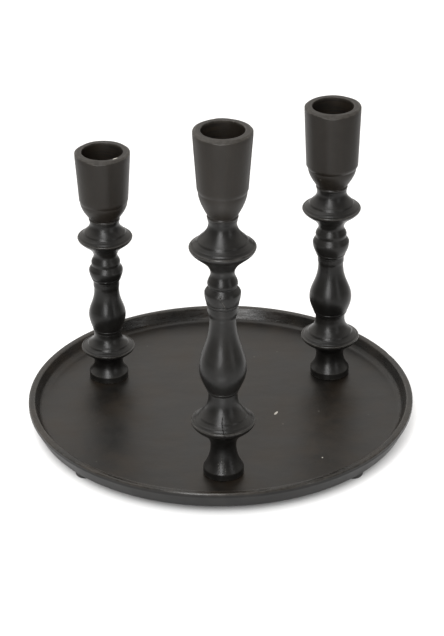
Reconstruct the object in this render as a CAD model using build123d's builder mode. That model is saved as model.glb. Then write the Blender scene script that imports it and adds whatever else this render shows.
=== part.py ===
from build123d import *
from dataclasses import dataclass
from math import cos, radians, sin
import os

# Tabletop candelabra: a round cast tray on four rubber pads, and three cast candlesticks of different
# heights on it, each held from beneath by a machine screw and a washer.
# Millimetres, +Z up, front towards -Y. The origin is the centre of the plane that the pads stand on.

# Tray
tray_r = 110.0  # over the rim
wall_h = 11.0  # underside to rim top
plate_t = 3.8  # flat bottom
wall_lean = 4.4  # how far the foot of the outer wall lies inside the rim
rim_w = 3.6  # flat top of the rim
rim_band_h = 2.6  # upright band round the outside of the rim
inner_lean = 2.9  # how far the foot of the inner wall lies inside its top
heel_round = 2.0  # outer lower edge
band_round = 2.0  # where that band runs into the sloped wall
rim_round = 1.2  # both edges of the rim
cove_round = 4.0  # inner wall into floor

# Rubber pads under the tray
pad_r = 6.0
pad_h = 4.0
pad_round = 1.5
pad_inset = 1.6  # pad's edge from the foot of the outer wall
pad_bearings = [-43.0, 45.0, 137.0, 219.0]  # stuck on by hand, so not quite square

# Candle sockets
candle_r = 11.75
candle_depth = 28.0
lip_round = 0.7  # outer edge of the cup's rim
mouth_break = 0.3  # inner edge of the cup's rim

# Fixings: M5 truss-head screw with a plain washer, from beneath
thread_r = 2.5
thread_gap = 0.05  # screw to tapped hole
tip_gap = 2.0  # screw tip to the end of its hole
screw_l = 16.0  # under the head
screw_head_r = 5.5
screw_head_h = 2.7
tip_break = 0.5
recess_l = 5.2  # cross recess, tip to tip
recess_w = 1.1
recess_depth = 1.6
washer_t = 1.0
washer_r = 6.25
washer_gap = 0.25  # screw to washer
plate_hole_gap = 0.25  # screw to tray
spot_depth = 1.0
spot_gap = 0.5  # washer to the wall of its spot face

# Candlesticks
stick_pitch_r = 74.5  # tray centre to stick centre
foot_r = 11.2
foot_band_h = 4.0  # upright band round the foot
foot_round = 1.0
ring_h = 1.8  # thin rings turned on the stem


@dataclass
class Stick:
    name: str
    bearing: float  # degrees anticlockwise from +X, seen from above
    height: float  # tray floor to cup rim
    # lower group, stacked upwards from the foot
    low_neck_rise: float
    low_neck_r: float
    low_disc_rise: float
    low_disc_r: float
    low_ring_rise: float
    low_ring_r: float
    # vase, which takes up what height the two groups leave
    belly_place: float  # fullest point, as a part of the vase's own height
    belly_r: float
    waist_r: float
    # upper group, stacked downwards from the rim
    cup_wall: float  # at the rim
    heel_drop: float  # socket floor to the lower end of the cup's wall
    heel_wall: float  # cup's radius there, beyond the socket's
    bowl_wall: float  # bowl's radius where it meets the cup, beyond the socket's
    bowl_drop: float
    cup_ring_r: float
    cup_neck_drop: float
    cup_neck_r: float
    high_disc_drop: float
    high_disc_r: float
    high_neck_drop: float
    high_neck_r: float
    collar_drop: float
    collar_r: float
    collar_groove: float
    bead_drop: float
    bead_r: float
    bead_ring_drop: float
    bead_ring_r: float
    waist_drop: float


sticks = [
    Stick(
        name="short",
        bearing=150.0,
        height=143.9,
        low_neck_rise=10.0,
        low_neck_r=8.25,
        low_disc_rise=9.8,
        low_disc_r=15.4,
        low_ring_rise=9.2,
        low_ring_r=8.2,
        belly_place=0.4,
        belly_r=10.65,
        waist_r=7.2,
        cup_wall=4.0,
        heel_drop=1.4,
        heel_wall=2.25,
        bowl_wall=1.75,
        bowl_drop=12.4,
        cup_ring_r=8.9,
        cup_neck_drop=2.6,
        cup_neck_r=8.4,
        high_disc_drop=9.0,
        high_disc_r=15.7,
        high_neck_drop=11.5,
        high_neck_r=6.8,
        collar_drop=4.2,
        collar_r=8.3,
        collar_groove=0.15,
        bead_drop=5.0,
        bead_r=9.75,
        bead_ring_drop=8.7,
        bead_ring_r=7.8,
        waist_drop=3.4,
    ),
    Stick(
        name="tall",
        bearing=270.0,
        height=206.6,
        low_neck_rise=17.6,
        low_neck_r=7.05,
        low_disc_rise=15.3,
        low_disc_r=17.65,
        low_ring_rise=16.4,
        low_ring_r=8.3,
        belly_place=0.33,
        belly_r=13.05,
        waist_r=7.15,
        cup_wall=4.25,
        heel_drop=5.5,
        heel_wall=2.0,
        bowl_wall=1.4,
        bowl_drop=16.2,
        cup_ring_r=8.5,
        cup_neck_drop=4.2,
        cup_neck_r=7.65,
        high_disc_drop=13.9,
        high_disc_r=18.1,
        high_neck_drop=15.6,
        high_neck_r=6.5,
        collar_drop=6.0,
        collar_r=8.3,
        collar_groove=0.6,
        bead_drop=5.4,
        bead_r=9.9,
        bead_ring_drop=9.6,
        bead_ring_r=8.6,
        waist_drop=6.0,
    ),
    Stick(
        name="medium",
        bearing=30.0,
        height=169.9,
        low_neck_rise=13.0,
        low_neck_r=7.85,
        low_disc_rise=11.6,
        low_disc_r=16.7,
        low_ring_rise=12.4,
        low_ring_r=8.65,
        belly_place=0.36,
        belly_r=12.1,
        waist_r=7.15,
        cup_wall=4.2,
        heel_drop=7.9,
        heel_wall=2.95,
        bowl_wall=2.0,
        bowl_drop=13.6,
        cup_ring_r=9.0,
        cup_neck_drop=3.4,
        cup_neck_r=8.4,
        high_disc_drop=10.3,
        high_disc_r=16.7,
        high_neck_drop=11.8,
        high_neck_r=7.3,
        collar_drop=4.2,
        collar_r=8.9,
        collar_groove=0.15,
        bead_drop=5.2,
        bead_r=10.45,
        bead_ring_drop=10.8,
        bead_ring_r=7.8,
        waist_drop=3.0,
    ),
]
heel_step = 1.6  # height of the sloped step between bowl and cup wall
ring_proud = 0.45  # thin rings beyond the stem beside them

# Each turned curve leaves its lower end and meets its upper end upright. These give how far it keeps
# upright at the two ends, as parts of its own height.
even = (0.33, 0.33)
foot_flare = (0.05, 0.6)
low_disc_under = (0.55, 0.28)
low_disc_over = (0.15, 0.6)
vase_under = (0.12, 0.4)
vase_over = (0.33, 0.52)
bead_under = (0.25, 0.5)
bead_over = (0.33, 0.12)
high_disc_under = (0.48, 0.25)
high_disc_over = (0.12, 0.5)
bowl_round = (0.04, 0.42)

# Levels and places that follow
underside_z = pad_h
floor_z = underside_z + plate_t
base_r = tray_r - wall_lean
wall_foot_r = tray_r - rim_w - inner_lean
pad_pitch_r = base_r - pad_inset - pad_r
spot_r = washer_r + spot_gap
spot_z = underside_z + spot_depth
plate_under_stick = plate_t - spot_depth
screw_head_z = spot_z - washer_t
screw_dome_r = (screw_head_r**2 + screw_head_h**2) / (2 * screw_head_h)
thread_depth = screw_l - washer_t - plate_under_stick + tip_gap


def on_circle(radius, bearing):
    return radius * cos(radians(bearing)), radius * sin(radians(bearing))


def upright(x, y, z):
    """Plane through (x, y, z) that holds +X across and +Z up, for profiles that are turned."""
    return Plane(origin=(x, y, z), x_dir=(1, 0, 0), z_dir=(0, -1, 0))


def upright_axis(x, y):
    return Axis((x, y, 0), (0, 0, 1))


def facing_down(x, y, z):
    return Plane(origin=(x, y, z), x_dir=(1, 0, 0), z_dir=(0, 0, -1))


def save(part, name):
    part.label = name
    export_step(part, f"parts/{name}.step")


def turned_curve(start, end, hold=even):
    """Curve from one (radius, height) up to the next that is upright at both ends."""
    rise = end[1] - start[1]
    Bezier(start, (start[0], start[1] + hold[0] * rise), (end[0], end[1] - hold[1] * rise), end)


def thin_ring(radius, height):
    """Rounded ring on the stem. Returns where the stem carries on below and above it."""
    stem_r = radius - ring_proud
    below = (stem_r, height - ring_h / 2)
    above = (stem_r, height + ring_h / 2)
    ThreePointArc(below, (radius, height), above)
    return below, above


def stick_outline(s):
    """Half outline of one candlestick from the axis at its foot to the axis at its rim."""
    cup_r = candle_r + s.cup_wall
    low_neck = (s.low_neck_r, s.low_neck_rise)
    low_disc = (s.low_disc_r, low_neck[1] + s.low_disc_rise)
    heel = (candle_r + s.heel_wall, s.height - candle_depth - s.heel_drop)
    bowl = (candle_r + s.bowl_wall, heel[1] - heel_step)
    cup_ring_z = heel[1] - s.bowl_drop
    cup_neck = (s.cup_neck_r, cup_ring_z - s.cup_neck_drop)
    high_disc = (s.high_disc_r, cup_neck[1] - s.high_disc_drop)
    high_neck = (s.high_neck_r, high_disc[1] - s.high_neck_drop)
    collar = (s.collar_r, high_neck[1] - s.collar_drop)
    groove = (s.collar_r - s.collar_groove, collar[1] - ring_h)
    bead = (s.bead_r, collar[1] - s.bead_drop)
    bead_ring_z = bead[1] - s.bead_ring_drop
    waist = (s.waist_r, bead_ring_z - s.waist_drop)

    Line((0, 0), (foot_r - foot_round, 0))
    CenterArc((foot_r - foot_round, foot_round), foot_round, -90, 90)
    Line((foot_r, foot_round), (foot_r, foot_band_h))
    turned_curve((foot_r, foot_band_h), low_neck, foot_flare)
    turned_curve(low_neck, low_disc, low_disc_under)
    below, above = thin_ring(s.low_ring_r, low_disc[1] + s.low_ring_rise)
    turned_curve(low_disc, below, low_disc_over)
    belly = (s.belly_r, above[1] + s.belly_place * (waist[1] - above[1]))
    turned_curve(above, belly, vase_under)
    turned_curve(belly, waist, vase_over)
    below, above = thin_ring(s.bead_ring_r, bead_ring_z)
    turned_curve(waist, below)
    turned_curve(above, bead, bead_under)
    turned_curve(bead, groove, bead_over)
    turned_curve(groove, collar)
    turned_curve(collar, high_neck)
    turned_curve(high_neck, high_disc, high_disc_under)
    turned_curve(high_disc, cup_neck, high_disc_over)
    below, above = thin_ring(s.cup_ring_r, cup_ring_z)
    turned_curve(cup_neck, below)
    turned_curve(above, bowl, bowl_round)
    Line(bowl, heel)
    Line(heel, (cup_r, s.height - lip_round))
    CenterArc((cup_r - lip_round, s.height - lip_round), lip_round, 0, 90)
    Polyline((cup_r - lip_round, s.height), (0, s.height), (0, 0))


os.makedirs("parts", exist_ok=True)

# Tray: one casting, turned outline, three screw holes with spot faces underneath
with BuildPart() as tray:
    with BuildSketch(upright(0, 0, underside_z)):
        with BuildLine():
            FilletPolyline(
                (0, 0),
                (base_r, 0),
                (tray_r, wall_h - rim_band_h),
                (tray_r, wall_h),
                (tray_r - rim_w, wall_h),
                (wall_foot_r, plate_t),
                (0, plate_t),
                radius=[heel_round, band_round, rim_round, rim_round, cove_round],
            )
            Line((0, plate_t), (0, 0))
        make_face()
    revolve(axis=Axis.Z)
    for s in sticks:
        with Locations(facing_down(*on_circle(stick_pitch_r, s.bearing), underside_z)):
            CounterBoreHole(thread_r + plate_hole_gap, spot_r, spot_depth, plate_t)
save(tray.part, "tray")

# Rubber pads: the object stands on their flat lower faces
for number, bearing in enumerate(pad_bearings, start=1):
    with BuildPart() as pad:
        with BuildSketch(Plane.XY):
            with Locations(on_circle(pad_pitch_r, bearing)):
                Circle(pad_r)
        extrude(amount=pad_h)
        fillet(pad.faces().sort_by(Axis.Z)[0].edges(), pad_round)
    save(pad.part, f"pad_{number}")

for s in sticks:
    stick_x, stick_y = on_circle(stick_pitch_r, s.bearing)

    # Candlestick: one casting with a candle socket bored from above and a tapped hole from beneath
    with BuildPart() as stick:
        with BuildSketch(upright(stick_x, stick_y, floor_z)):
            with BuildLine():
                stick_outline(s)
            make_face()
        revolve(axis=upright_axis(stick_x, stick_y))
        with Locations((stick_x, stick_y, floor_z + s.height)):
            Hole(candle_r, candle_depth)
        mouth = stick.edges().filter_by(GeomType.CIRCLE).group_by(Axis.Z)[-1].sort_by(SortBy.RADIUS)[0]
        chamfer(mouth, mouth_break)
        with Locations(facing_down(stick_x, stick_y, floor_z)):
            Hole(thread_r + thread_gap, thread_depth)
    save(stick.part, f"stick_{s.name}")

    # Washer in the tray's spot face
    with BuildPart() as washer:
        with BuildSketch(Plane.XY.offset(screw_head_z)):
            with Locations((stick_x, stick_y)):
                Circle(washer_r)
                Circle(thread_r + washer_gap, mode=Mode.SUBTRACT)
        extrude(amount=washer_t)
    save(washer.part, f"washer_{s.name}")

    # Screw: domed head with a cross recess, its shank up through washer and tray into the stick
    with BuildPart() as screw:
        with BuildSketch(upright(stick_x, stick_y, screw_head_z)):
            with BuildLine():
                RadiusArc((0, -screw_head_h), (screw_head_r, 0), -screw_dome_r)
                Polyline(
                    (screw_head_r, 0),
                    (thread_r, 0),
                    (thread_r, screw_l - tip_break),
                    (thread_r - tip_break, screw_l),
                    (0, screw_l),
                    (0, -screw_head_h),
                )
            make_face()
        revolve(axis=upright_axis(stick_x, stick_y))
        with BuildSketch(Plane.XY.offset(screw_head_z - screw_head_h)):
            with Locations((stick_x, stick_y)):
                Rectangle(recess_l, recess_w, rotation=s.bearing)
                Rectangle(recess_w, recess_l, rotation=s.bearing)
        extrude(amount=recess_depth, mode=Mode.SUBTRACT)
    save(screw.part, f"screw_{s.name}")
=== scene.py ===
import math

import bpy
import numpy as np
from mathutils import Matrix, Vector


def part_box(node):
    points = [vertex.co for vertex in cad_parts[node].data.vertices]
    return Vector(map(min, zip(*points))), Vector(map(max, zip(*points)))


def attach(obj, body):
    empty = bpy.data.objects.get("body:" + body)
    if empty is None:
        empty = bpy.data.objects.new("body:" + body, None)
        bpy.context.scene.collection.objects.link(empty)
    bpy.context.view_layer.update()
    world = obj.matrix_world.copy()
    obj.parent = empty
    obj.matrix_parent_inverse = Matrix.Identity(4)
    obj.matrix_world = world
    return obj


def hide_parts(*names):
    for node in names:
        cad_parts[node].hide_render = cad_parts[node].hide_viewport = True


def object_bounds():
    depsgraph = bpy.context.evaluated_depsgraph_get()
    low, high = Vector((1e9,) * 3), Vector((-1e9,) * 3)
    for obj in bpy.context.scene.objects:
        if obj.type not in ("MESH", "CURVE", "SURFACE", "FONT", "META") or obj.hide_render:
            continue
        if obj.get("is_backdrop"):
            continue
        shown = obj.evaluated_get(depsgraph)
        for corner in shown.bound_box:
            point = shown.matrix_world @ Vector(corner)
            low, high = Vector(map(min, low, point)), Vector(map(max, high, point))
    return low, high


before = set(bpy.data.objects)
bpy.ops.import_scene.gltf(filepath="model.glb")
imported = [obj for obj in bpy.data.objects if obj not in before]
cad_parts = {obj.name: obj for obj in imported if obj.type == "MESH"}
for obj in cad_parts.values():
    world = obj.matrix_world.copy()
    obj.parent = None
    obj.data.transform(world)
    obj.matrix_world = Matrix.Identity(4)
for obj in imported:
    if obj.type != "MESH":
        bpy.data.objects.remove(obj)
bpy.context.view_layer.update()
print("frame loaded with", len(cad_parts), "nodes")

mm = 0.001
front = -math.pi / 2  # bearing of the side that faces the camera


# Shader maths: a Wire is one socket, and arithmetic on it adds Math nodes.
class Wire:
    def __init__(self, finish, socket):
        self.finish = finish
        self.socket = socket

    def maths(self, operation, *values):
        return self.finish.node("Math", {"operation": operation}, dict(enumerate(values)))

    def __add__(self, other):
        return self.maths("ADD", self, other)

    def __sub__(self, other):
        return self.maths("SUBTRACT", self, other)

    def __rsub__(self, other):
        return self.maths("SUBTRACT", other, self)

    def __mul__(self, other):
        return self.maths("MULTIPLY", self, other)

    def __truediv__(self, other):
        return self.maths("DIVIDE", self, other)

    def __abs__(self):
        return self.maths("ABSOLUTE", self)

    __radd__ = __add__
    __rmul__ = __mul__

    def sine(self):
        return self.maths("SINE", self)

    def orLess(self, other):
        return self.maths("MINIMUM", self, other)

    def orMore(self, other):
        return self.maths("MAXIMUM", self, other)

    # rises smoothly from 0 at low to 1 at high, or falls where high is the lesser
    def ramp(self, low, high, least=0, most=1):
        settings = {"interpolation_type": "SMOOTHSTEP"}
        return self.finish.node("MapRange", settings, {0: self, 1: low, 2: high, 3: least, 4: most})


# A Finish builds one material, or the nodes of a world.
class Finish:
    def __init__(self, owner, surface="Principled BSDF"):
        owner.use_nodes = True
        self.owner = owner
        self.tree = owner.node_tree
        self.surface = self.tree.nodes[surface]

    # one node: its settings first, then its sockets by number or name, from values or Wires
    def node(self, kind, settings=None, sockets=None, out=0):
        made = self.tree.nodes.new("ShaderNode" + kind)
        for setting, value in (settings or {}).items():
            setattr(made, setting, value)
        for socket, value in (sockets or {}).items():
            if isinstance(value, Wire):
                self.tree.links.new(value.socket, made.inputs[socket])
            else:
                made.inputs[socket].default_value = value
        return Wire(self, made.outputs[out])

    # place on the piece in metres from the given centre
    def place(self, centre=(0, 0, 0)):
        spot = self.node("TexCoord", out="Object")
        return self.node("VectorMath", {"operation": "SUBTRACT"}, {0: spot, 1: centre})

    # the same place with its axes stretched, which draws a pattern out along the small ones
    def drawn(self, place, stretch):
        return self.node("VectorMath", {"operation": "MULTIPLY"}, {0: place, 1: stretch})

    def axes(self, place):
        made = self.tree.nodes.new("ShaderNodeSeparateXYZ")
        self.tree.links.new(place.socket, made.inputs[0])
        return [Wire(self, out) for out in made.outputs]

    def length(self, place):
        return self.node("VectorMath", {"operation": "LENGTH"}, {0: place}, out="Value")

    def radius(self, x, y):
        return self.length(self.node("CombineXYZ", None, {0: x, 1: y}))

    # cloudy noise from 0 to 1, with features about size metres across
    def cloud(self, place, size, detail=3, roughness=0.6, distortion=0):
        sockets = {"Vector": place, "Scale": 1 / size, "Detail": detail}
        sockets.update({"Roughness": roughness, "Distortion": distortion})
        return self.node("TexNoise", None, sockets)

    # small round spots of that radius, as a part of the cell's size, on about share of the cells
    def spots(self, place, size, radius, share):
        sockets = {"Vector": place, "Scale": 1 / size, "Randomness": 1}
        distance = self.node("TexVoronoi", None, sockets)
        pick = self.node("TexVoronoi", None, sockets, out="Color")
        chosen = self.axes(pick)[0].ramp(1 - share, 1 - share + 0.01)
        return distance.ramp(radius, radius * 0.6) * chosen

    # small chips at (x, y), each with half its length and width, turned from x by degrees. A chip is an
    # ellipse: the square of the distance from its middle, counted in half lengths and half widths,
    # runs through the fade.
    def chips(self, x, y, chipAndGlintList, fade=(1.2, 0.5)):
        total = 0
        for middleX, middleY, along, across, turn in chipAndGlintList:
            c, s = math.cos(math.radians(turn)), math.sin(math.radians(turn))
            dx, dy = x - middleX * mm, y - middleY * mm
            lengthwise = (dx * c + dy * s) / (along * mm)
            crosswise = (dy * c - dx * s) / (across * mm)
            total = total + (lengthwise * lengthwise + crosswise * crosswise).ramp(*fade)
        return total

    def blend(self, mask, first, second):
        sockets = {0: mask, 6: first, 7: second}
        return self.node("Mix", {"data_type": "RGBA"}, sockets, out=2)

    def bump(self, height, distance):
        return self.node("Bump", None, {"Height": height, "Distance": distance})

    # varying inputs come as Wires, and constants go straight onto the shader's own sockets
    def set(self, **inputs):
        for name, value in inputs.items():
            socket = self.surface.inputs[name.replace("_", " ")]
            if isinstance(value, Wire):
                self.tree.links.new(value.socket, socket)
            else:
                socket.default_value = value
        return self.owner


def newFinish(name):
    return Finish(bpy.data.materials.new(name))


def colour(red, green, blue):
    return (red, green, blue, 1)


# Puts vertices, quads and triangles into one mesh object, shaded smooth except where faces meet
# more sharply than the crease angle.
def putMesh(name, vertices, quads, triangles, crease=38):
    faces = [f.tolist() for f in (quads, triangles) if len(f)]
    mesh = bpy.data.meshes.new(name)
    mesh.from_pydata(vertices.tolist(), [], [corners for group in faces for corners in group])
    mesh.validate()
    mesh.shade_smooth()
    mesh.set_sharp_from_angle(angle=math.radians(crease))
    piece = bpy.data.objects.new(name, mesh)
    bpy.context.scene.collection.objects.link(piece)
    return piece


# Quads of a grid whose rows are closed loops: row i, column j joins row i + 1, column j + 1.
def loopQuads(rows, columns, first=0):
    index = first + np.arange(rows * columns).reshape(rows, columns)
    ahead = np.roll(index, -1, axis=1)
    corners = [index[:-1], ahead[:-1], ahead[1:], index[1:]]
    return np.stack(corners, axis=-1).reshape(-1, 4)


# Triangles from a closed loop of vertices to the one at its middle.
def capTriangles(loop, middle, upward):
    ahead = np.roll(loop, -1)
    pair = [loop, ahead] if upward else [ahead, loop]
    return np.stack([*pair, np.full(len(loop), middle)], axis=-1)


# Wear of each outline point, and where a highlight is painted: how sharply the outline turns outwards
# there, in radians a millimetre, averaged over a short reach by a bell curve. It is 0 below the least
# and 1 above the full turn.
def edgeWearAndHighlight(outline, reach=0.5, least=0.25, full=1.0):
    steps = np.diff(outline, axis=0)
    lengths = np.hypot(steps[:, 0], steps[:, 1])
    turns = np.zeros(len(outline))
    turns[1:-1] = np.diff(np.unwrap(np.arctan2(steps[:, 1], steps[:, 0])))
    along = np.concatenate([[0], np.cumsum(lengths)])
    near = np.exp(-(((along[:, None] - along[None, :]) / reach) ** 2))
    return smooth(near @ turns / (reach * math.sqrt(math.pi)), least, full)


# Keeps one number for each vertex on the piece, for its material to read.
def keepWearAndHighlight(piece, values):
    piece.data.attributes.new("wear_and_highlight", "FLOAT", "POINT").data.foreach_set("value", values)


# Turned piece, closed at both poles: x = r cos a, y = r sin a for each outline point (r, z) and each
# angle a. The outline runs from the axis below, up the outside, to the axis above.
# shape(r, a, z) may then move points, and returns x, y, z about the piece's own axis.
def turned(name, outline, centre, around, shape=None):
    angle = np.linspace(0, 2 * np.pi, around, endpoint=False)[None, :]
    r, z = outline[1:-1, 0][:, None], outline[1:-1, 1][:, None]
    r, angle, z = np.broadcast_arrays(r, angle, z)
    x, y, z = shape(r, angle, z) if shape else (r * np.cos(angle), r * np.sin(angle), z)
    rows = len(outline) - 2
    body = np.stack([x, y, z], axis=-1).reshape(-1, 3)
    ends = np.array([[x[i].mean(), y[i].mean(), outline[j, 1]] for i, j in ((0, 0), (-1, -1))])
    vertices = np.vstack([body, ends]) * mm + np.array([centre[0], centre[1], 0])
    last = np.arange((rows - 1) * around, rows * around)
    bottom = capTriangles(np.arange(around), rows * around, upward=False)
    top = capTriangles(last, rows * around + 1, upward=True)
    piece = putMesh(name, vertices, loopQuads(rows, around), np.vstack([bottom, top]))
    keepWearAndHighlight(piece, np.append(np.repeat(edgeWearAndHighlight(outline)[1:-1], around), [0.0, 0.0]))
    return piece


# Joins stretches of outline and drops each point that repeats the one before.
def joined(*stretches):
    points = np.vstack([np.atleast_2d(s) for s in stretches])
    gaps = np.hypot(*np.diff(points, axis=0).T)
    return points[np.concatenate([[True], gaps > 1e-4])]


def straight(start, end, step):
    count = max(2, math.ceil(math.dist(start, end) / step) + 1)
    return np.linspace(start, end, count)


# Arc about a middle point, from one angle to another in degrees.
def arc(middle, radius, start, end, count=7):
    a = np.radians(np.linspace(start, end, count))
    return np.column_stack([middle[0] + radius * np.cos(a), middle[1] + radius * np.sin(a)])


# Rounds the corner between two straight edges: the arc of that radius that touches both.
def roundedCorner(before, corner, after, radius, count=9):
    before, corner, after = (np.array(p, float) for p in (before, corner, after))
    inward = (before - corner) / np.linalg.norm(before - corner)
    outward = (after - corner) / np.linalg.norm(after - corner)
    half = math.acos(np.clip(inward @ outward, -1, 1)) / 2
    middle = corner + (inward + outward) / np.linalg.norm(inward + outward) * radius / math.sin(half)
    reach = radius / math.tan(half)
    ends = [corner + inward * reach - middle, corner + outward * reach - middle]
    a, b = (math.atan2(p[1], p[0]) for p in ends)
    b = a + (b - a + math.pi) % (2 * math.pi) - math.pi
    return arc(middle, radius, math.degrees(a), math.degrees(b), count)


# 0 below low, 1 above high, and 3t^2 - 2t^3 between.
def smooth(value, low, high):
    t = np.clip((value - low) / (high - low), 0, 1)
    return 3 * t**2 - 2 * t**3


# Slow waves round a piece, about 1 at most: the sum over k of sin(k a + phase) / k, divided by the sum
# of 1 / k. The phase is fixed by the seed, looks random, and drifts slowly with the height.
def waves(angle, height, seed, slow=0.09):
    counts = range(2, 7)
    total = 0
    for k in counts:
        phase = 43.7 * math.sin(12.9898 * seed + 78.233 * k)
        total = total + np.sin(k * angle + phase + height * slow * math.cos(phase)) / k
    return total / sum(1 / k for k in counts)


# The paint that covers every casting: near-black and a little warm, put on by hand. marks adds what
# belongs to one piece: height in millimetres, roughness, bare spots and painted highlights from 0 to 1,
# and dusty paint.
def castingPaint(name, centre, look, marks):
    paint = newFinish(name)
    here = paint.place(centre)
    mottle = paint.cloud(here, look["mottleSize"] * mm, detail=4, distortion=0.4)
    fine = paint.cloud(here, look["grainSize"] * mm)
    lumps = paint.cloud(here, look["lumpSize"] * mm, detail=2, roughness=0.5)
    dust = paint.spots(here, look["dustSize"] * mm, look["dustRadius"], look["dustShare"])
    # edge wear, which also paints a highlight along the sharp edges
    wornAndHighlit = paint.node("Attribute", {"attribute_name": "wear_and_highlight"}, out="Fac")
    patches = paint.cloud(here, look["wearSize"] * mm)
    wornAndHighlit = wornAndHighlit * patches.ramp(*look["wearPatches"], look["wearLeast"], 1)
    extra = marks(paint, here)
    shade = paint.blend(mottle.ramp(*look["mottleRange"]), look["deep"], look["pale"])
    shade = paint.blend(extra["dusty"], shade, look["dusty"])
    # bare metal and painted highlight: marks, specks, worn edges with their painted highlight, and the
    # short rim's painted glint
    bare = extra["bare"] + dust * look["dustShow"] + wornAndHighlit * look["wearAndHighlightShow"]
    shade = paint.blend(bare.orLess(1), shade, look["bare"])
    rough = extra["rough"] + (mottle - 0.5) * look["roughSpread"] + (fine - 0.5) * look["roughGrain"]
    rough = rough - wornAndHighlit * look["wearPolish"]
    rough = rough.orMore(look["roughLimits"][0]).orLess(look["roughLimits"][1])
    height = lumps * look["lumpHeight"] + fine * look["grainHeight"] + dust * look["dustHeight"]
    normal = paint.bump(height + extra["height"], mm)
    return paint.set(Base_Color=shade, Roughness=rough, Normal=normal, Specular_IOR_Level=look["shine"])


paintLook = {
    "deep": colour(0.0034, 0.0032, 0.0029),
    "pale": colour(0.0076, 0.0071, 0.0064),
    "dusty": colour(0.0180, 0.0122, 0.0070),
    # bare metal colour, also used for the painted highlight on sharp edges and the short rim's painted
    # glint
    "bare": colour(0.42, 0.40, 0.36),
    "shine": 0.26,  # specular level
    "mottleSize": 16,  # sizes and heights are in millimetres
    "mottleRange": (0.35, 0.7),
    "lumpSize": 6,
    "grainSize": 0.9,
    "dustSize": 7,  # specks caught in the paint: their spacing, radius as a part of it, and share
    "dustRadius": 0.1,
    "dustShare": 0.05,
    "roughSpread": 0.10,
    "roughGrain": 0.06,
    "roughLimits": (0.12, 0.9),
    "lumpHeight": 0.08,
    "grainHeight": 0.005,
    "dustHeight": 0.02,
    "dustShow": 0.08,
    "wearSize": 3.0,  # wear along the sharp edges, and a painted highlight there: how long its patches are,
    "wearPatches": (0.3, 0.65),
    "wearLeast": 0.25,  # how worn an edge is between them,
    "wearAndHighlightShow": 0.05,  # how much metal shows: wear, and a painted highlight on the edges
    "wearPolish": 0.08,  # and how much smoother the paint is
}

# Tray, in millimetres above the pads' lower faces
trayLook = {
    "over": 110.0,  # radius over the rim
    "wallHeight": 11.0,
    "plate": 3.8,
    "wallLean": 4.4,
    "rimWidth": 3.6,
    "rimBand": 2.6,
    "innerLean": 2.9,
    "heelRound": 2.0,
    "bandRound": 2.0,
    "rimRound": 1.2,
    "coveRound": 4.0,
    "holeRadius": 2.75,
    "spotRadius": 6.75,
    "spotDepth": 1.0,
    "around": 360,  # points round the outside, a multiple of three
    "joinRadius": 96.0,  # where the turned wall meets the flat parts
    "step": 0.7,  # longest piece of the wall's outline between its bends
    "bendPoints": 13,
    "spokePoints": 41,  # along each straight edge of a flat part
    "ringsAbove": 22,  # from its edge to the screw hole
    "ringsBelow": 20,
    "rimWave": 0.16,  # how far the rim dips
    "rimSeed": 4.0,
    "swell": 0.08,  # and strays from round
    "swellSeed": 9.0,
    "nicks": [(-78.7, 1.5, 0.45), (-131.0, 2.2, 0.3), (24.0, 1.8, 0.25)],  # bearing, half width, depth
    "nickReach": 2.4,  # from the rim's outside inwards
    "nickFade": 1.2,
    "nickRagged": 0.25,
    "nickTeeth": 9,  # radians of its ragged wave in each degree
}
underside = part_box("tray")[0].z / mm
trayFloor = underside + trayLook["plate"]
stickNames = ["short", "tall", "medium"]
stickCentres = {}
for name in stickNames:
    low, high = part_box("stick_" + name)
    stickCentres[name] = ((low.x + high.x) / 2, (low.y + high.y) / 2)


# Half outline of the wall, from under the plate, up the outside, over the rim and back to the floor.
def trayWall(look):
    base = look["over"] - look["wallLean"]
    rim = underside + look["wallHeight"]
    bandFoot = (look["over"], rim - look["rimBand"])
    rimOut, rimIn = (look["over"], rim), (look["over"] - look["rimWidth"], rim)
    foot = (rimIn[0] - look["innerLean"], trayFloor)
    heel = (base, underside)
    start, end = (look["joinRadius"], underside), (look["joinRadius"], trayFloor)
    corners = [start, heel, bandFoot, rimOut, rimIn, foot, end]
    radii = [look[k] for k in ("heelRound", "bandRound", "rimRound", "rimRound", "coveRound")]
    count, step = look["bendPoints"], look["step"]
    bends = [roundedCorner(*corners[i:i + 3], radius, count) for i, radius in enumerate(radii)]
    stretches = [start]
    for bend in bends:
        stretches += [straight(np.atleast_2d(stretches[-1])[-1], bend[0], step), bend]
    return joined(*stretches, straight(bends[-1][-1], end, step))


# Flat part round one screw hole, top and underside in one grid: rings shrink from the sector's
# edge to the hole on top, go down the hole, out over the spot face, and grow to the edge below.
def traySector(look, turn, holeCentre):
    join, third = look["joinRadius"], look["around"] // 3
    bearings = turn + np.radians(np.linspace(-60, 60, third + 1))
    rimPoints = join * np.column_stack([np.cos(bearings), np.sin(bearings)])
    share = np.linspace(1, 0, look["spokePoints"])[1:, None]
    edge = np.vstack([rimPoints, rimPoints[-1] * share, rimPoints[0] * share[::-1][1:]])
    away = edge - holeCentre
    away = away / np.linalg.norm(away, axis=1)[:, None]
    hole = holeCentre + away * look["holeRadius"]
    spot = holeCentre + away * look["spotRadius"]
    spotTop = underside + look["spotDepth"]
    rings = []

    def ringsBetween(a, b, za, zb, shares):
        for s in shares:
            ring = a + (b - a) * s
            rings.append(np.column_stack([ring, np.full(len(ring), za + (zb - za) * s)]))

    ringsBetween(edge, hole, trayFloor, trayFloor, np.linspace(0, 1, look["ringsAbove"]))
    ringsBetween(hole, hole, trayFloor, spotTop, [0.5, 1])
    ringsBetween(hole, spot, spotTop, spotTop, [0.5, 1])
    ringsBetween(spot, spot, spotTop, underside, [0.5, 1])
    ringsBetween(spot, edge, underside, underside, np.linspace(0, 1, look["ringsBelow"])[1:])
    return np.array(rings)


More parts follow.
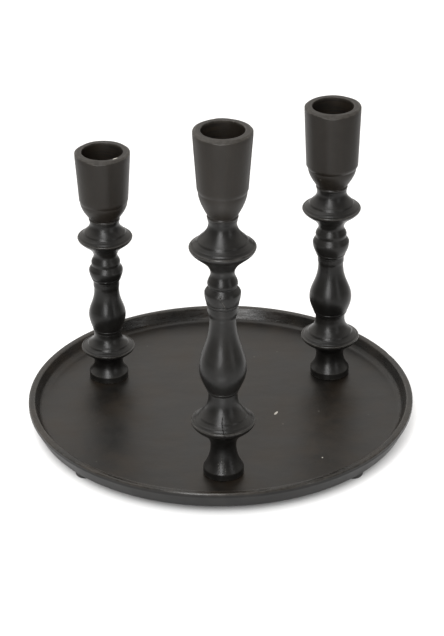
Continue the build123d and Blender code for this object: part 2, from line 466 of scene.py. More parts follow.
# Tray surface: the wall is turned, three sectors fill the middle, and vertices at one place merge.
# The higher a point of the wall is, the more of the rim's waves and nicks it follows: r grows by the
# swell and z falls by the drop, each times the square of its height above the floor.
def makeTray(look):
    wall = trayWall(look)
    # the first point is where two sectors meet, so that their edges and the wall's share points
    angle = np.radians(np.arange(look["around"]) * 360 / look["around"] + 30)
    bearing = np.degrees(angle)[None, :]
    r, z = wall[:, 0][:, None], wall[:, 1][:, None]
    upper = np.clip((z - trayFloor) / (look["wallHeight"] - look["plate"]), 0, 1) ** 2
    drop = look["rimWave"] * (1 + waves(angle[None, :], 0, look["rimSeed"])) / 2
    for at, halfWidth, depth in look["nicks"]:
        off = (bearing - at + 180) % 360 - 180
        ragged = 1 + look["nickRagged"] * np.sin(bearing * look["nickTeeth"])
        outerSide = np.clip((r - look["over"] + look["nickReach"]) / look["nickFade"], 0, 1)
        drop = drop + depth * ragged * np.clip(1 - np.abs(off) / halfWidth, 0, 1) * outerSide
    onWall = r > look["joinRadius"] + 1
    swell = look["swell"] * waves(angle[None, :], 0, look["swellSeed"]) * onWall
    spread = r + swell * upper
    x, y = spread * np.cos(angle), spread * np.sin(angle)
    z = z - drop * upper
    vertices = [np.stack([x, y, z], axis=-1).reshape(-1, 3)]
    quads = [loopQuads(len(wall), look["around"])]
    for name in stickNames:
        centre = np.array(stickCentres[name]) / mm
        grid = traySector(look, math.atan2(centre[1], centre[0]), centre)
        first = sum(len(v) for v in vertices)
        quads.append(loopQuads(grid.shape[0], grid.shape[1], first))
        vertices.append(grid.reshape(-1, 3))
    vertices = np.vstack(vertices)
    places, back = np.unique(np.round(vertices, 3), axis=0, return_inverse=True)
    quads = back.reshape(-1)[np.vstack(quads)]
    piece = putMesh("tray_casting", places * mm, quads, np.empty((0, 3), int))
    wornAndHighlit = np.zeros(len(places))
    wornAndHighlit[back.reshape(-1)[:wall.shape[0] * look["around"]]] = np.repeat(edgeWearAndHighlight(wall), look["around"])
    keepWearAndHighlight(piece, wornAndHighlit)
    return piece


# What the tray's paint shows: chips, brush streaks round the inner wall, blotches on the floor, and
# painted shade on the outer wall, which gets none of the dusty paint.
trayMarks = {
    "rough": 0.40,
    "dusty": 0.6,
    "chips": [(31.4, -10.6, 2.2, 0.75, 64), (55.3, -61.1, 0.6, 0.4, 90)],
    "chipShow": 0.9,
    "chipHeight": 0.05,
    "wallFrom": (101.5, 103.5),  # radii between which the inner wall begins
    "outsideFrom": (102.4, 103.2),  # the same for the outer wall, as the radius at its foot
    "streakStretch": (0.02, 1.2),  # streaks on the inner wall: along the bearing and the radius,
    "streakSize": 1.2,
    "streakHeight": 0.08,
    "streakRough": 0.5,
    "wallPolish": 0.36,  # and how much smoother that wall is
    "blotchSize": 22,
    "blotchRange": (0.3, 0.8),
    "blotchRough": 0.16,
    "wipeSize": 9,  # faint strokes of the brush across the floor
    "wipeDraw": (0.25, 1, 1),
    "wipeRough": 0.12,
    "outsideRough": 0.08,
}


# The inner wall is found by its radius, and the outer one by the radius at its own foot. Streaks are
# noise that is long along the bearing and fine in height.
def trayPaintMarks(paint, here):
    look = trayMarks
    x, y, z = paint.axes(here)
    radius = paint.radius(x, y)
    bearing = paint.node("Math", {"operation": "ARCTAN2"}, {0: y, 1: x})
    slant = trayLook["wallLean"] / (trayLook["wallHeight"] - trayLook["rimBand"])
    outside = (radius - z * slant).ramp(*(r * mm for r in look["outsideFrom"]))
    onWall = radius.ramp(*(r * mm for r in look["wallFrom"])) * (1 - outside)
    along, across = look["streakStretch"]
    ribbon = paint.node("CombineXYZ", None, {0: bearing * along, 1: radius * across, 2: z})
    streaks = paint.cloud(ribbon, look["streakSize"] * mm)
    blotch = paint.cloud(here, look["blotchSize"] * mm)
    chips = paint.chips(x, y, look["chips"])
    strokes = paint.drawn(here, look["wipeDraw"])
    wiped = paint.cloud(strokes, look["wipeSize"] * mm, roughness=0.55)
    rough = look["rough"] + (blotch - 0.5) * look["blotchRough"]
    rough = rough + (wiped - 0.5) * look["wipeRough"] + outside * look["outsideRough"]
    rough = rough + onWall * (streaks * look["streakRough"] - look["wallPolish"])
    return {
        "height": streaks * onWall * look["streakHeight"] + chips * look["chipHeight"],
        "rough": rough,
        "bare": chips * look["chipShow"],
        # painted shade: the outer wall gets no dusty paint and stays darker
        "dusty": blotch.ramp(*look["blotchRange"]) * look["dusty"] * (1 - outside),
    }


trayPiece = makeTray(trayLook)
trayPiece.data.materials.append(castingPaint("tray_paint", (0, 0, 0), paintLook, trayPaintMarks))
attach(trayPiece, "root")
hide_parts("tray")
print("tray made")

# Candlesticks, in millimetres: what all three share
stickShared = {
    "footRadius": 11.2,
    "footBand": 4.0,
    "footRound": 1.0,
    "ringHeight": 1.8,
    "ringProud": 0.3,  # the ring under the cup, beyond its stem
    "lineProud": 0.2,  # the ring round the foot of the vase and of the bead,
    "lineGroove": 0.12,  # the depth of the grooves beside it,
    "groovePlace": 1.15,  # and in half heights of the ring their place, their width
    "grooveWidth": 0.22,
    "lineSpan": 1.6,  # and how far the ring and its grooves reach
    "linePoints": 25,
    "candleRadius": 11.75,
    "candleDepth": 28.0,
    "mouthBreak": 0.3,
    "rimReach": 3.0,  # how far down the cup the filing of its rim moves anything
    "filedLow": 0.45,  # rounding below and above the filed edge
    "filedHigh": 0.3,
    "filedWidth": 0.55,  # width of the filed edge is this and a share of its depth
    "filedSlant": 1.1,
    "filedWave": 0.35,  # how much its depth wanders round the rim, and changes from facet to facet
    "filedFacet": 0.25,
    "facetPairs": 3.5,
    "heelStep": 1.6,
    "screwHole": 2.55,
    "screwHoleDepth": 14.2,
    "drillPoint": 0.6,  # height of the hole's pointed end, as a part of its radius
    "around": 144,
    "step": 0.5,  # longest piece of a turned curve,
    "faceStep": 0.25,  # and of the upper face of a disc
    "fewestPoints": 7,
    "unevenness": 0.08,
    "calmRadius": 6,  # it fades towards the axis below this radius,
    "calmFoot": 5,  # and towards the foot below this height
    "stepShares": (0.735, 0.765),  # of a disc's radius, where its upper face steps down
    "edgeShares": (0.93, 0.995),  # where it comes back up
    "ridgeShare": 0.88,
    "ridgeWidth": 0.02,
    "ridgeHeight": 0.12,
    "stepDepth": 0.65,
}
# Longest pieces of the straight stretches of the outline
straightSteps = {
    "screwHole": 2, "foot": 0.6, "ringFoot": 0.5, "heel": 0.4, "cup": 1.2, "cupRim": 0.5,
    "rimTop": 0.4, "mouth": 0.15, "socket": 1.5, "socketFloor": 3,
}
# What differs. A pair is a rise or a drop from the part before, and a radius: from lowNeck to lowRing
# upwards from the foot, from heel to waist downwards from the socket's floor. The belly's first number
# is its place between lowRing and waist, as a part of that height; heel and bowl count their radius
# from the socket's wall. groove is the depth of the groove under the collar. lineRise lifts the rings
# of the vase and of the bead above the stem's thinnest places. lean is sideways at the rim: in
# proportion to height, and to its square. chamfer is the depth of the filed edge, and dip a deeper
# cut in it: bearing from the front, depth and half width, angles in radians.
sticks = {
    "short": {
        "lowNeck": (10.0, 8.25), "lowDisc": (9.8, 15.4), "lowRing": (9.2, 8.2),
        "belly": (0.4, 10.65), "waist": (3.4, 7.2),
        "cupWall": 4.0, "heel": (1.4, 2.25), "bowl": 1.75, "cupRing": (12.4, 8.9),
        "cupNeck": (2.6, 8.4), "highDisc": (9.0, 15.7), "highNeck": (11.5, 6.8),
        "collar": (4.2, 8.3), "groove": 0.15, "bead": (5.0, 9.75), "beadRing": (8.7, 7.8),
        "lineRise": (2.3, 3.0), "lean": (0.0, -0.5), "seed": 1.0,
        "chamfer": 0.70, "dip": (-0.16, 1.2, 0.55),
    },
    "tall": {
        "lowNeck": (17.6, 7.05), "lowDisc": (15.3, 17.65), "lowRing": (16.4, 8.3),
        "belly": (0.33, 13.05), "waist": (6.0, 7.15),
        "cupWall": 4.25, "heel": (5.5, 2.0), "bowl": 1.4, "cupRing": (16.2, 8.5),
        "cupNeck": (4.2, 7.65), "highDisc": (13.9, 18.1), "highNeck": (15.6, 6.5),
        "collar": (6.0, 8.3), "groove": 0.6, "bead": (5.4, 9.9), "beadRing": (9.6, 8.6),
        "lineRise": (2.5, 2.8), "lean": (-0.25, 1.1), "seed": 2.0,
        "chamfer": 0.85, "dip": (-0.12, 1.0, 0.6),
    },
    "medium": {
        "lowNeck": (13.0, 7.85), "lowDisc": (11.6, 16.7), "lowRing": (12.4, 8.65),
        "belly": (0.36, 12.1), "waist": (3.0, 7.15),
        "cupWall": 4.2, "heel": (7.9, 2.95), "bowl": 2.0, "cupRing": (13.6, 9.0),
        "cupNeck": (3.4, 8.4), "highDisc": (10.3, 16.7), "highNeck": (11.8, 7.3),
        "collar": (4.2, 8.9), "groove": 0.15, "bead": (5.2, 10.45), "beadRing": (10.8, 7.8),
        "lineRise": (3.6, 3.0), "lean": (-0.3, 0.5), "seed": 3.0,
        "chamfer": 0.8, "dip": (-0.05, 1.2, 0.65),
    },
}
# How far each curve keeps upright at its lower and upper end, as parts of its own height
holds = {
    "even": (0.33, 0.33), "footFlare": (0.05, 0.6), "lowDiscUnder": (0.55, 0.28),
    "lowDiscOver": (0.13, 0.67), "vaseUnder": (0.12, 0.4), "vaseOver": (0.33, 0.52),
    "beadUnder": (0.25, 0.5), "beadOver": (0.33, 0.12), "highDiscUnder": (0.48, 0.25),
    "highDiscOver": (0.12, 0.5), "bowl": (0.04, 0.42),
}


# Upright-ended curve: the radius goes over as 3t^2 - 2t^3, the height as a cubic with the given holds.
def curve(start, end, hold="even"):
    c = stickShared
    k0, k1 = holds[hold]
    longest = c["faceStep"] if "DiscOver" in hold else c["step"]
    length = math.dist(start, end) * 1.25  # an S is about a quarter longer than its chord
    t = np.linspace(0, 1, max(c["fewestPoints"], math.ceil(length / longest)))
    r = start[0] + (end[0] - start[0]) * (3 * t**2 - 2 * t**3)
    rise = 3 * (1 - t) ** 2 * t * k0 + 3 * (1 - t) * t**2 * (1 - k1) + t**3
    return np.column_stack([r, start[1] + (end[1] - start[1]) * rise])


# Thin ring on the stem: an arc that stands proud between two points of the stem.
def thinRing(radius, height):
    half, proud = stickShared["ringHeight"] / 2, stickShared["ringProud"]
    size = (half**2 + proud**2) / (2 * proud)
    reach = math.degrees(math.asin(half / size))
    return arc((radius - size, height), size, -reach, reach, 9)


# Lower and upper end of the short upright stretch where a stem is thinnest.
def stemFoot(radius, height):
    half = stickShared["ringHeight"] / 2
    stem = radius - stickShared["ringProud"]
    return (stem, height - half), (stem, height + half)


# Ring cut on a tapering stem, between two grooves: half an ellipse stands on the stem's own outline,
# less a bell curve on each side of it.
def ringed(stem, level):
    c = stickShared
    half = c["ringHeight"] / 2
    off = np.linspace(-c["lineSpan"], c["lineSpan"], c["linePoints"])
    z = level + off * half
    off = np.abs(off)
    line = c["lineProud"] * np.sqrt(np.clip(1 - off**2, 0, 1))
    line = line - c["lineGroove"] * np.exp(-(((off - c["groovePlace"]) / c["grooveWidth"]) ** 2))
    ring = np.column_stack([np.interp(z, stem[:, 1], stem[:, 0]) + line, z])
    both = np.vstack([stem[np.abs(stem[:, 1] - level) > c["lineSpan"] * half], ring])
    return both[np.argsort(both[:, 1])]


# Turned step on a disc's upper face: beyond the step the face lies lower, with a fine ridge on it,
# and comes back at the edge.
def steppedFace(outline, radius):
    share = outline[:, 0] / radius
    c = stickShared
    sunk = smooth(share, *c["stepShares"]) * (1 - smooth(share, *c["edgeShares"]))
    ridge = np.exp(-(((share - c["ridgeShare"]) / c["ridgeWidth"]) ** 2))
    outline[:, 1] += ridge * c["ridgeHeight"] - sunk * c["stepDepth"]
    return outline


# Outline of one candlestick, from the top of its screw hole, out under the foot, up the outside,
# over the rim and down to the middle of the socket's floor. The edge between cup and rim is a band
# 1 mm deep and 1 mm wide with two rounded corners, which filedRim then files.
def stickOutline(s, tall):
    c, steps = stickShared, straightSteps
    cup = c["candleRadius"] + s["cupWall"]
    lowNeck = (s["lowNeck"][1], s["lowNeck"][0])
    lowDisc = (s["lowDisc"][1], lowNeck[1] + s["lowDisc"][0])
    heel = (c["candleRadius"] + s["heel"][1], tall - c["candleDepth"] - s["heel"][0])
    bowl = (c["candleRadius"] + s["bowl"], heel[1] - c["heelStep"])
    cupRing = thinRing(s["cupRing"][1], heel[1] - s["cupRing"][0])
    cupNeck = (s["cupNeck"][1], heel[1] - s["cupRing"][0] - s["cupNeck"][0])
    highDisc = (s["highDisc"][1], cupNeck[1] - s["highDisc"][0])
    highNeck = (s["highNeck"][1], highDisc[1] - s["highNeck"][0])
    collar = (s["collar"][1], highNeck[1] - s["collar"][0])
    groove = (s["collar"][1] - s["groove"], collar[1] - c["ringHeight"])
    bead = (s["bead"][1], collar[1] - s["bead"][0])
    beadFoot = stemFoot(s["beadRing"][1], bead[1] - s["beadRing"][0])
    waist = (s["waist"][1], bead[1] - s["beadRing"][0] - s["waist"][0])
    vaseFoot = stemFoot(s["lowRing"][1], lowDisc[1] + s["lowRing"][0])
    above = vaseFoot[1]
    belly = (s["belly"][1], above[1] + s["belly"][0] * (waist[1] - above[1]))
    vase = joined(straight(*vaseFoot, steps["ringFoot"]), curve(above, belly, "vaseUnder"))
    beadUnder = joined(straight(*beadFoot, steps["ringFoot"]), curve(beadFoot[1], bead, "beadUnder"))
    foot, edge = c["footRadius"], c["footRound"]
    hole, depth = c["screwHole"], c["screwHoleDepth"]
    candle, mouth = c["candleRadius"], c["candleRadius"] + c["mouthBreak"]
    socketFloor = tall - c["candleDepth"]
    brim, brink = (cup, tall - c["rimReach"]), (candle, tall - c["mouthBreak"])
    return joined(
        [(0, depth + hole * c["drillPoint"]), (hole, depth)],
        straight((hole, depth), (hole, 0), steps["screwHole"]),
        straight((hole, 0), (foot - edge, 0), steps["screwHole"]),
        arc((foot - edge, edge), edge, -90, 0),
        straight((foot, edge), (foot, c["footBand"]), steps["foot"]),
        curve((foot, c["footBand"]), lowNeck, "footFlare"),
        curve(lowNeck, lowDisc, "lowDiscUnder"),
        steppedFace(curve(lowDisc, vaseFoot[0], "lowDiscOver"), lowDisc[0]),
        ringed(vase, lowDisc[1] + s["lowRing"][0] + s["lineRise"][0]),
        curve(belly, waist, "vaseOver"),
        curve(waist, beadFoot[0]),
        ringed(beadUnder, bead[1] - s["beadRing"][0] + s["lineRise"][1]),
        curve(bead, groove, "beadOver"),
        curve(groove, collar),
        curve(collar, highNeck),
        curve(highNeck, highDisc, "highDiscUnder"),
        steppedFace(curve(highDisc, cupNeck, "highDiscOver"), highDisc[0]),
        curve(cupNeck, cupRing[0]),
        cupRing,
        curve(cupRing[-1], bowl, "bowl"),
        straight(bowl, heel, steps["heel"]),
        straight(heel, brim, steps["cup"]),
        straight(brim, (cup, tall - 1.5), steps["cupRim"]),
        roundedCorner((cup, tall - 2), (cup, tall - 1), (cup - 1, tall), c["filedLow"]),
        roundedCorner((cup, tall - 1), (cup - 1, tall), (mouth, tall), c["filedHigh"], 5),
        straight((cup - 1.5, tall), (mouth, tall), steps["rimTop"]),
        straight((mouth, tall), brink, steps["mouth"]),
        straight(brink, (candle, socketFloor), steps["socket"]),
        straight((candle, socketFloor), (0, socketFloor), steps["socketFloor"]),
    )


# Filed rim: the outline's edge band, 1 mm deep and wide, gets the depth and width that the file left
# at each angle: the chamfer's depth times slow waves and flat facets, and deeper at the dip. The
# wall below and the flat above are squeezed to fit.
def filedRim(r, a, z, s, tall):
    c = stickShared
    cup, mouth = c["candleRadius"] + s["cupWall"], c["candleRadius"] + c["mouthBreak"]
    dipAt, dipDepth, dipWidth = s["dip"]
    off = (a - front - dipAt + np.pi) % (2 * np.pi) - np.pi
    facets = 0.5 - np.abs(np.sin(c["facetPairs"] * a + s["seed"]))
    wander = c["filedWave"] * waves(a, 0, s["seed"] + 5)
    depth = s["chamfer"] * (1 + wander + c["filedFacet"] * facets)
    depth = depth + dipDepth * np.clip(1 - np.abs(off) / dipWidth, 0, 1)
    across = c["filedWidth"] + c["filedSlant"] * depth
    below, within = tall - z, cup - r
    restDown = depth + (below - 1) * (c["rimReach"] - depth) / (c["rimReach"] - 1)
    restIn = across + (within - 1) * (cup - mouth - across) / (cup - mouth - 1)
    nearRim = (r > mouth - 1e-6) & (below < c["rimReach"]) & (below > -1e-6)
    z = np.where(nearRim, tall - np.where(below < 1, below * depth, restDown), z)
    onTop = nearRim & (within > 0)
    return np.where(onTop, cup - np.where(within < 1, within * across, restIn), r), z


# One candlestick: turned, with its rim's outer edge filed by hand. Then r strays by slow waves, except
# in the socket and at the foot, and x by the lean.
def makeStick(name, s):
    low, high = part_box("stick_" + name)
    footLevel, tall = low.z / mm, (high.z - low.z) / mm

    def shape(r, a, z):
        c = stickShared
        share = np.clip(z / tall, 0, 1)
        uneven = c["unevenness"] * waves(a, z, s["seed"]) * np.clip(r / c["calmRadius"], 0, 1)
        inSocket = (r < c["candleRadius"] + c["mouthBreak"] + 0.1) & (z > tall - c["candleDepth"] - 0.1)
        uneven = np.where(inSocket, 0, uneven) * np.clip(z / c["calmFoot"], 0, 1)
        r, z = filedRim(r, a, z, s, tall)
        bend = s["lean"][0] * share + s["lean"][1] * share**2
        spread = r + uneven
        return spread * np.cos(a) + bend, spread * np.sin(a), z + footLevel

    outline = stickOutline(s, tall)
    piece = turned(f"candlestick_{name}", outline, stickCentres[name], stickShared["around"], shape)
    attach(piece, "root")
    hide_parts("stick_" + name)
    return piece, footLevel, tall


# What the sticks' paint shows: glossier stems, dull cups and sockets, turning and brush marks.
stickMarks = {
    "stemRough": 0.33,
    "cupRough": 0.42,
    "socketRough": 0.55,
    "cupDusty": 0.32,
    "socketDusty": 0.35,
    "cupFade": (-1, 2),  # the cup's paint begins between these heights over the ring under it, and
    "socketFade": 0.35,  # the socket's within this of its wall and between these heights over its floor
    "floorFade": (-1, -0.5),
    "turningSize": 0.9,  # rings left by the lathe
    "turningDrift": 0.03,
    "turningHeight": 0.012,
    "socketTurning": 3,  # how much deeper they are in the socket
    "ringRange": (0.4, 0.6),
    "ringShow": 0.5,  # how much they vary the dull paint there
    "brushSize": 1.1,  # strokes of the brush, drawn out along the height
    "brushDraw": (1, 1, 0.04),
    "brushHeight": 0.02,
    "brushShow": 0.8,  # how much they vary the dull paint on the cup
    "scarGrain": 0.9,
    "scarRag": 0.9,  # how far the scars' edges stray
    "scarSwing": 2.6,  # radians of their swing in half their height
    "scarCore": 0.2,  # part of their half width that has the full depth
    "scarEnds": (1, 0.75),  # parts of their half height between which they fade in
    "scarSide": (0, -3),  # they are on the front only
    "scarBare": (0.42, 0.58),
    "chipDepth": (2, 1.5),  # chips and the painted glint begin between these depths under the rim
}
# Scars left by the mould and the file: middle bearing from the front in degrees, middle height,
# half height, sideways swing, half width, depth in millimetres, and how bare it is.
scars = {
    "short": [(-10, 101.0, 2.2, 0.5, 0.22, 0.10, 0.05)],
    "tall": [
        (0, 109.5, 4.6, 1.3, 0.42, 0.32, 0.10),
        (0, 33.5, 7.0, 0.85, 0.34, 0.70, 0.0),
        (-14, 8.0, 3.5, 0.3, 0.24, 0.16, 0.25),
        (-4, 9.0, 4.5, 0.25, 0.22, 0.16, 0.20),
        (3, 7.5, 3.0, 0.4, 0.20, 0.14, 0.18),
    ],
    "medium": [(-6, 117.0, 2.6, 0.5, 0.25, 0.10, 0.05)],
}
# Bare spots on the rims: on the short stick a painted highlight where its inner lip catches a glint, on
# the tall one a light scratch. x and y from the stick's middle, half length, half width, and turn from x
# in degrees.
rimChipsAndGlints = {
    "short": [(6.9, -9.9, 1.7, 0.45, 35)],
    "tall": [(-4.5, 13.6, 2.4, 0.35, 18)],
    "medium": [],
}


# Marks of one stick. A scar is a ragged groove that swings sideways as a sine of its height. The
# lathe's rings are noise in radius and height, and brush strokes are noise drawn out along the height.
def stickPaintMarks(s, tall, scarList, chipAndGlintList):
    cupFoot = tall - stickShared["candleDepth"] - s["heel"][0] - s["cupRing"][0]
    candle, socketFloor = stickShared["candleRadius"], tall - stickShared["candleDepth"]
    look = stickMarks

    def marks(paint, here):
        x, y, z = paint.axes(here)
        radius = paint.radius(x, y)
        cup = z.ramp(*((cupFoot + rise) * mm for rise in look["cupFade"]))
        inside = radius.ramp((candle + look["socketFade"]) * mm, candle * mm)
        inside = inside * z.ramp(*((socketFloor + rise) * mm for rise in look["floorFade"]))
        ringPlace = paint.node("CombineXYZ", None, {0: radius, 1: x * look["turningDrift"], 2: z})
        turning = paint.cloud(ringPlace, look["turningSize"] * mm, roughness=0.65)
        strokes = paint.drawn(here, look["brushDraw"])
        brush = paint.cloud(strokes, look["brushSize"] * mm, detail=2, roughness=0.5)
        ragged = paint.cloud(here, look["scarGrain"] * mm, detail=2)
        height = turning * look["turningHeight"] * (1 + look["socketTurning"] * inside)
        height = height + brush * cup * look["brushHeight"]
        # bare spots at the rim: the tall rim's scratch, and the short rim's painted glint on its inner
        # lip
        bare = paint.chips(x, y, chipAndGlintList) * z.ramp(*((tall - down) * mm for down in look["chipDepth"]))
        for bearing, middle, half, swing, width, depth, show in scarList:
            across = x - stickShared["footRadius"] * math.sin(math.radians(bearing)) * mm
            along = (z - middle * mm) / (half * mm)
            path = across + (along * look["scarSwing"]).sine() * swing * mm
            path = path + (ragged - 0.5) * look["scarRag"] * mm
            line = abs(path).ramp(width * mm, width * look["scarCore"] * mm)
            line = line * abs(along).ramp(*look["scarEnds"])
            line = line * y.ramp(*(side * mm for side in look["scarSide"]))
            height = height - line * depth
            bare = bare + line * show * ragged.ramp(*look["scarBare"])
        rough = look["stemRough"] + cup * (look["cupRough"] - look["stemRough"])
        rough = rough + inside * (look["socketRough"] - look["cupRough"])
        dusty = cup * look["cupDusty"] * (1 + (brush - 0.5) * look["brushShow"])
        dusty = dusty + inside * (look["socketDusty"] - look["cupDusty"])
        dusty = dusty + inside * (turning.ramp(*look["ringRange"]) - 0.5) * look["ringShow"]
        return {"height": height, "rough": rough, "bare": bare, "dusty": dusty}

    return marks


for name in stickNames:
    piece, footLevel, tall = makeStick(name, sticks[name])
    base = (*stickCentres[name], footLevel * mm)
    marks = stickPaintMarks(sticks[name], tall, scars[name], rimChipsAndGlints[name])
    piece.data.materials.append(castingPaint(f"{name}_stick_paint", base, paintLook, marks))
    print("candlestick", name, "made with", len(piece.data.polygons), "faces")

# Rubber pads, in millimetres
padLook = {
    "radius": 6.0,
    "height": 4.0,
    "round": 1.5,
    "dish": 0.25,  # depth and radius of the hollow in the lower face
    "dishRadius": 3.6,
    "around": 64,
    "steps": {"face": 0.5, "side": 0.6, "top": 2},  # longest pieces of outline
    "dullSize": 3,
    "dullRange": (0.35, 0.7),
    "deep": colour(0.006, 0.006, 0.006),
    "pale": colour(0.018, 0.017, 0.016),
    "rough": 0.62,
    "roughSpread": 0.25,
    "grainSize": 0.35,
    "grainHeight": 0.04,
}


# One pad: a turned outline that starts in the hollow, whose depth goes as half of 1 + cos, and runs
# over the lower face, round the lower edge, up the side and across the top.
def makePad(number, look):
    low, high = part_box(f"pad_{number}")
    centre = ((low.x + high.x) / 2, (low.y + high.y) / 2)
    radius, height, edge = look["radius"], look["height"], look["round"]
    dish, dishRadius = look["dish"], look["dishRadius"]
    steps = look["steps"]
    share = np.linspace(0, 1, 9)
    outline = joined(
        np.column_stack([dishRadius * share, dish * (1 + np.cos(np.pi * share)) / 2]),
        straight((dishRadius, 0), (radius - edge, 0), steps["face"]),
        arc((radius - edge, edge), edge, -90, 0, 9),
        straight((radius, edge), (radius, height), steps["side"]),
        straight((radius, height), (0, height), steps["top"]),
    )
    piece = turned(f"rubber_pad_{number}", outline, centre, look["around"])
    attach(piece, "root")
    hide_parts(f"pad_{number}")
    return piece


# Black rubber with dull patches and a fine grain.
def padRubber(look):
    rubber = newFinish("pad_rubber")
    here = rubber.place()
    dull = rubber.cloud(here, look["dullSize"] * mm)
    grain = rubber.cloud(here, look["grainSize"] * mm, detail=2)
    shade = rubber.blend(dull.ramp(*look["dullRange"]), look["deep"], look["pale"])
    rough = look["rough"] + (dull - 0.5) * look["roughSpread"]
    normal = rubber.bump(grain, look["grainHeight"] * mm)
    return rubber.set(Base_Color=shade, Roughness=rough, Normal=normal)


padFinish = padRubber(padLook)
for number in range(1, 5):
    makePad(number, padLook).data.materials.append(padFinish)
print("pads made")


# Screws and washers keep their own shape and get a zinc finish; sizes are in millimetres.
zincLook = {
    "turningPitch": 0.35,  # from one turning mark to the next
    "turningRough": 0.02,
    "turningHeight": 0.004,
    "blotchSize": 2.2,
    "blotchRange": (0.3, 0.75),
    "blotchHeight": 0.01,
    "deep": colour(0.42, 0.43, 0.44),
    "pale": colour(0.62, 0.62, 0.60),
    "rough": 0.34,
    "roughSpread": 0.25,
}


# Zinc-plated steel: dull grey metal with blotchy crystals of plating and fine turning marks, which
# are a sine of the distance from the screw's axis.
def zincSteel(name, centre, look):
    zinc = newFinish(name)
    here = zinc.place(centre)
    x, y, z = zinc.axes(here)
    radius = zinc.node("Math", {"operation": "SQRT"}, {0: x * x + y * y})
    turning = (radius * (2 * math.pi / (look["turningPitch"] * mm))).sine()
    blotch = zinc.cloud(here, look["blotchSize"] * mm, detail=4, distortion=0.6)
    shade = zinc.blend(blotch.ramp(*look["blotchRange"]), look["deep"], look["pale"])
    rough = look["rough"] + (blotch - 0.5) * look["roughSpread"] + turning * look["turningRough"]
    height = turning * look["turningHeight"] + blotch * look["blotchHeight"]
    return zinc.set(Base_Color=shade, Metallic=1.0, Roughness=rough, Normal=zinc.bump(height, mm))


for name in stickNames:
    for kind in ("screw_", "washer_"):
        finish = zincSteel(f"{kind}{name}_zinc", (*stickCentres[name], 0), zincLook)
        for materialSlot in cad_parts[kind + name].material_slots:
            materialSlot.material = finish
print("screws and washers finished")

# Studio: pale floor, soft light all round, and the camera. Bearings are degrees from the front, to the
# right, and lengths are millimetres. A reach is a pair of radii, where a glow is full and where it ends.
studio = {
    "floorSize": 6000,
    "floorColour": colour(0.46, 0.46, 0.46),
    "floorRough": 0.9,
    "floorGlow": 0.60,  # the floor is a light table, a long strip from front to back
    "stripReach": (380, 1500),
    "stripMiddle": (0, 160, 0),
    "stripNarrow": (2.8, 1, 1),
    "paintedShadowReach": (96, 112),  # with no glow under the object: a painted shadow there,
    "poolGlow": 2.8,  # and a painted pool of light in front of it
    "poolReach": (10, 68),
    "poolMiddle": (-18, -205, 0),
    "skyColour": colour(1.0, 0.965, 0.92),
    "skyBehind": 1.5,
    "skyFront": 0.42,
    "skyTurn": (-0.6, 0.5),  # from front to back, as parts of the sky's radius
    "skyRight": 0.8,  # right side against the left
    "skySide": (-0.7, 0.7),
    "skyLow": 0.5,  # at the horizon against overhead
    "skyRise": (0, 0.45),
    "lightAim": (0, 0, 80),
    "aim": (1.1, 0.0, 64.2),
    "distance": 1650.0,
    "azimuth": -1.05,
    "elevation": 27.95,
    "roll": -0.41,
    "lens": 165.2,
    "sensor": 36,
}
softboxes = {
    "key": {"azimuth": -15, "elevation": 35, "distance": 1200, "size": (380, 1500), "radiance": 12.0},
    "side": {"azimuth": 50, "elevation": 14, "distance": 1200, "size": (200, 900), "radiance": 3.0},
    "top": {"azimuth": -120, "elevation": 76, "distance": 1700, "size": (1400, 1400), "radiance": 1.3},
}


# Unit vector towards a bearing and an elevation, both in degrees; bearing 0 is the front.
def towards(azimuth, elevation):
    a, e = math.radians(azimuth), math.radians(elevation)
    return np.array([math.sin(a) * math.cos(e), -math.cos(a) * math.cos(e), math.sin(e)])


# Turns and places a lamp or camera so that it looks along -back at the aim, with the given roll.
def aimed(thing, back, aim, distance, roll=0):
    right = np.cross([0, 0, 1], back)
    right = right / np.linalg.norm(right)
    up = np.cross(back, right)
    tilt = math.radians(roll)
    pose = np.eye(4)
    pose[:3, 0] = math.cos(tilt) * right + math.sin(tilt) * up
    pose[:3, 1] = math.cos(tilt) * up - math.sin(tilt) * right
    pose[:3, 2] = back
    pose[:3, 3] = (np.array(aim) + back * distance) * mm
    thing.matrix_world = Matrix(pose)
    bpy.context.scene.collection.objects.link(thing)
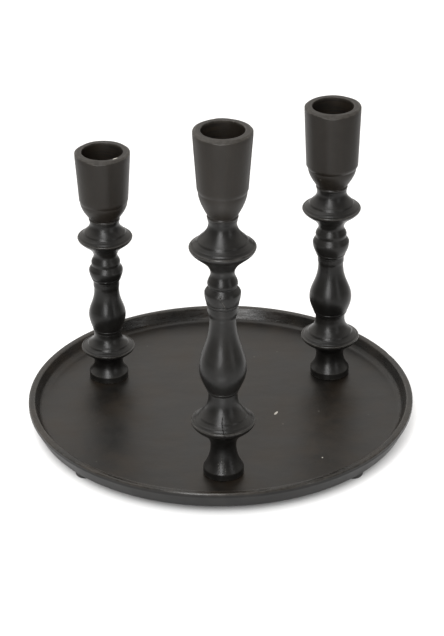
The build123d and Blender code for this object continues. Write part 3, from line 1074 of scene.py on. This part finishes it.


# Floor, sky and softboxes. The floor glows as a painted light: its strip of glow is a round spot with
# its x narrowed, with a painted pool of light in front of the object and a painted shadow under it.
def makeStudio():
    half = studio["floorSize"] / 2 * mm
    corners = np.array([(-half, -half, 0), (half, -half, 0), (half, half, 0), (-half, half, 0)])
    floor = putMesh("studio_floor", corners, np.array([[0, 1, 2, 3]]), np.empty((0, 3), int))
    plain = newFinish("floor_white_glowing")

    def faded(middle, reach, stretch=(1, 1, 1)):
        spot = plain.drawn(plain.place([m * mm for m in middle]), stretch)
        return plain.length(spot).ramp(reach[1] * mm, reach[0] * mm)

    strip = faded(studio["stripMiddle"], studio["stripReach"], studio["stripNarrow"])
    # painted pool of light on the floor in front of the object
    pool = faded(studio["poolMiddle"], studio["poolReach"])
    strongest = studio["floorGlow"] + studio["poolGlow"]
    # painted shadow: the floor's glow stops under the object
    unshadowed = 1 - faded((0, 0, 0), studio["paintedShadowReach"])
    glow = (strip * unshadowed * studio["floorGlow"] + pool * studio["poolGlow"]) / strongest
    plain.set(Emission_Color=plain.blend(glow, colour(0, 0, 0), colour(1, 1, 1)))
    plain.set(Emission_Strength=strongest)
    plain.set(Base_Color=studio["floorColour"], Roughness=studio["floorRough"])
    floor.data.materials.append(plain.owner)
    floor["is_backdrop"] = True
    sky = Finish(bpy.data.worlds.new("soft_light"), "Background")
    side, ahead, up = sky.axes(sky.node("TexCoord", out="Generated"))
    strength = ahead.ramp(*studio["skyTurn"], studio["skyFront"], studio["skyBehind"])
    strength = strength * side.ramp(*studio["skySide"], 1, studio["skyRight"])
    strength = strength * up.ramp(*studio["skyRise"], studio["skyLow"], 1)
    bpy.context.scene.world = sky.set(Color=studio["skyColour"], Strength=strength)
    for name, box in softboxes.items():
        light = bpy.data.lights.new(name + "_softbox", "AREA")
        light.shape = "RECTANGLE"
        light.size, light.size_y = (side * mm for side in box["size"])
        light.energy = box["radiance"] * math.pi * light.size * light.size_y
        lamp = bpy.data.objects.new(name + "_softbox", light)
        lamp.visible_camera = False
        aimed(lamp, towards(box["azimuth"], box["elevation"]), studio["lightAim"], box["distance"])


def makeCamera():
    lens = bpy.data.cameras.new("camera")
    lens.lens = studio["lens"]
    lens.sensor_width = studio["sensor"]
    camera = bpy.data.objects.new("camera", lens)
    back = towards(studio["azimuth"], studio["elevation"])
    aimed(camera, back, studio["aim"], studio["distance"], studio["roll"])
    bpy.context.scene.camera = camera


makeStudio()
makeCamera()
bpy.context.scene.view_settings.view_transform = "Standard"
print("studio made")

low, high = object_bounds()
